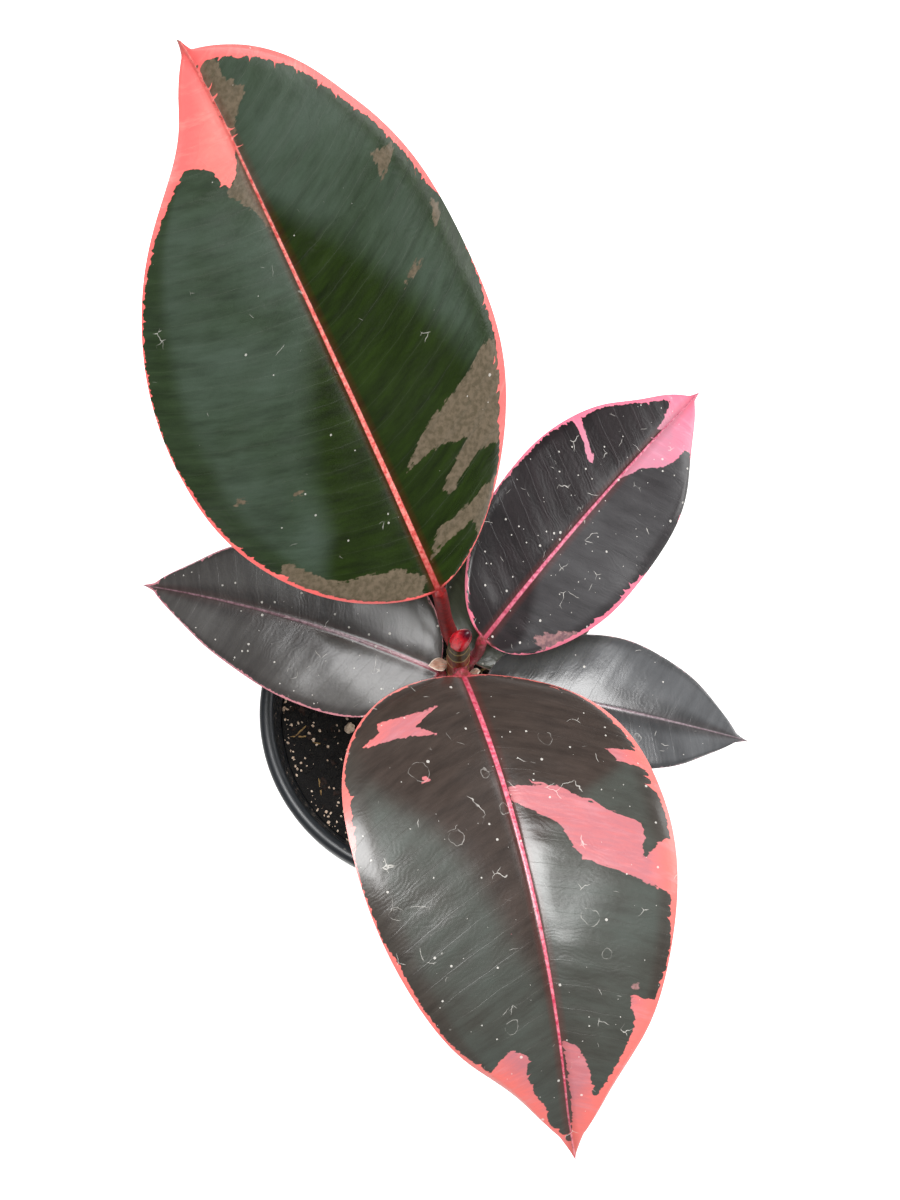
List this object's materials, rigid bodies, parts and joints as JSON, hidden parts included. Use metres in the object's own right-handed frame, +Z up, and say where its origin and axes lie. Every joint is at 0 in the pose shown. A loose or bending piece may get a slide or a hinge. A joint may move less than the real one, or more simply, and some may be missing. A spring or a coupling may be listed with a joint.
{
  "type": "potted rubber plant",
  "caption": "Young variegated rubber plant with large leathery leaves on one stem, standing in a round black nursery pot filled with peat mix.",
  "frame": {"origin": "centre of the pot's flat underside, on the surface that the plant stands on", "axes": "+Z up along the pot's axis; +Y towards the tallest leaf's side of the plant and -Y towards the large arching leaf; +X towards the side that the stem drifts to"},
  "size_m": [0.1912, 0.2493, 0.3549],
  "materials": {
    "pot_plastic": "injection-moulded black polypropylene, satin, with a polished lip",
    "peat_mix": "damp crumbly peat and coir mix, matt",
    "stem_bark": "young green-brown bark with pale ring scars, satin",
    "bud_red": "waxy crimson sheath, glossy",
    "leaf_green": "thick leathery leaf, dark green with salmon margins, waxy gloss",
    "leaf_dark": "thick leathery leaf, charcoal green with rose patches and dust, satin",
    "papery_sheath": "dried papery sheath, matt",
    "perlite": "expanded perlite, chalky",
    "bark": "composted bark, rough",
    "straw": "dry straw and root bits, matt"
  },
  "bodies": {
    "root": {"nursery_pot": "pot_plastic", "potting_soil": "peat_mix", "stem": "stem_bark", "terminal_bud": "bud_red", "leaf_1": "leaf_green", "leaf_2": "leaf_dark", "leaf_3": "leaf_dark", "leaf_4": "leaf_dark", "leaf_5": "leaf_dark", "leaf_6": "leaf_dark", "dried_sheath_1": "papery_sheath", "dried_sheath_2": "papery_sheath", "perlite_1": "perlite", "perlite_2": "perlite", "perlite_3": "perlite", "perlite_4": "perlite", "perlite_5": "perlite", "perlite_6": "perlite", "perlite_7": "perlite", "perlite_8": "perlite", "perlite_9": "perlite", "perlite_10": "perlite", "perlite_11": "perlite", "perlite_12": "perlite", "bark_chip_1": "bark", "bark_chip_2": "bark", "bark_chip_3": "bark", "bark_chip_4": "bark", "bark_chip_5": "bark", "bark_chip_6": "bark", "twig_1": "straw", "twig_2": "straw", "twig_3": "straw"}
  },
  "joints": []
}
